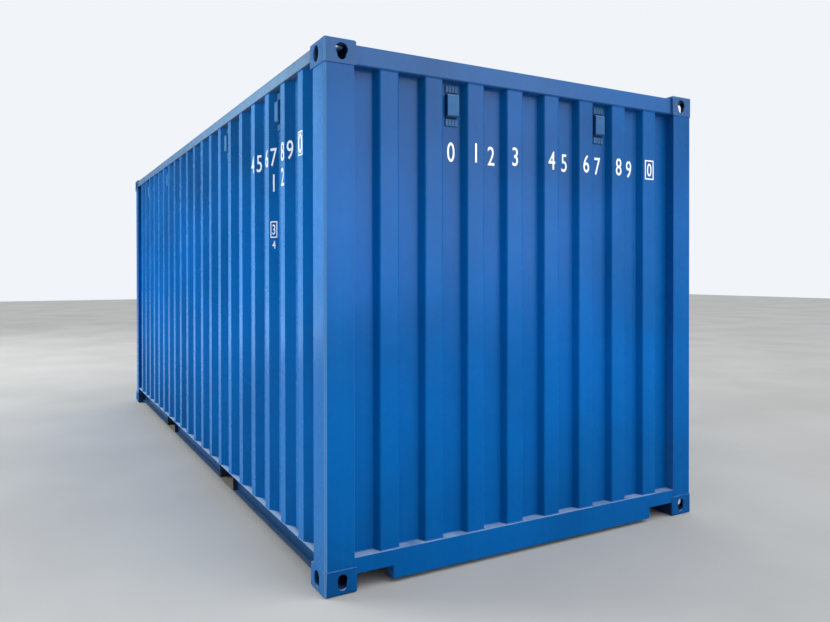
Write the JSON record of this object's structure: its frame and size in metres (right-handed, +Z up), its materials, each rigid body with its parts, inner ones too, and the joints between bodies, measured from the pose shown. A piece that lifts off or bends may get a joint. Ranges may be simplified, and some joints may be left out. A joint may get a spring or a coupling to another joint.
{
  "type": "20 ft standard-height shipping container",
  "caption": "Closed steel freight container with corrugated walls, hollow corner castings, fork pockets, a boarded floor and rod-locked doors.",
  "frame": {"origin": "bottom centre of the box over the corner castings, on the ground plane", "axes": "+X along the length to the blind front end, +Z up, the pictured long side faces -Y, doors at -X"},
  "size_m": [6.058, 2.438, 2.591],
  "materials": {
    "container_paint": "semi-gloss marine paint, blue",
    "casting_paint": "semi-gloss marine paint on cast steel, blue",
    "underside_paint": "dark wax-coated paint",
    "floor_plywood": "bare hardwood plywood",
    "door_rubber": "matt black",
    "zinc_steel": "zinc-coated, dull",
    "vent_plastic": "moulded, painted over in blue"
  },
  "bodies": {
    "root": {"front_right_bottom_casting": "casting_paint", "front_left_bottom_casting": "casting_paint", "rear_right_bottom_casting": "casting_paint", "rear_left_bottom_casting": "casting_paint", "front_right_top_casting": "casting_paint", "front_left_top_casting": "casting_paint", "rear_right_top_casting": "casting_paint", "rear_left_top_casting": "casting_paint", "front_right_post": "container_paint", "front_left_post": "container_paint", "rear_right_post": "container_paint", "rear_left_post": "container_paint", "front_header": "container_paint", "front_sill": "container_paint", "front_wall": "container_paint", "right_wall": "container_paint", "left_wall": "container_paint", "right_top_rail": "container_paint", "left_top_rail": "container_paint", "right_bottom_rail": "container_paint", "left_bottom_rail": "container_paint", "front_fork_pocket": "underside_paint", "rear_fork_pocket": "underside_paint", "cross_members": "underside_paint", "floor": "floor_plywood", "roof": "container_paint", "roof_corner_plates": "container_paint", "door_header": "container_paint", "door_sill": "container_paint", "right_door_frame": "container_paint", "left_door_frame": "container_paint", "right_door_panel": "container_paint", "left_door_panel": "container_paint", "door_gaskets": "door_rubber", "right_hinges": "zinc_steel", "left_hinges": "zinc_steel", "lock_rods": "zinc_steel", "rod_brackets": "zinc_steel", "rod_keepers": "zinc_steel", "door_handles": "zinc_steel", "front_vents": "vent_plastic", "right_vents": "vent_plastic", "left_vents": "vent_plastic"}
  },
  "joints": []
}
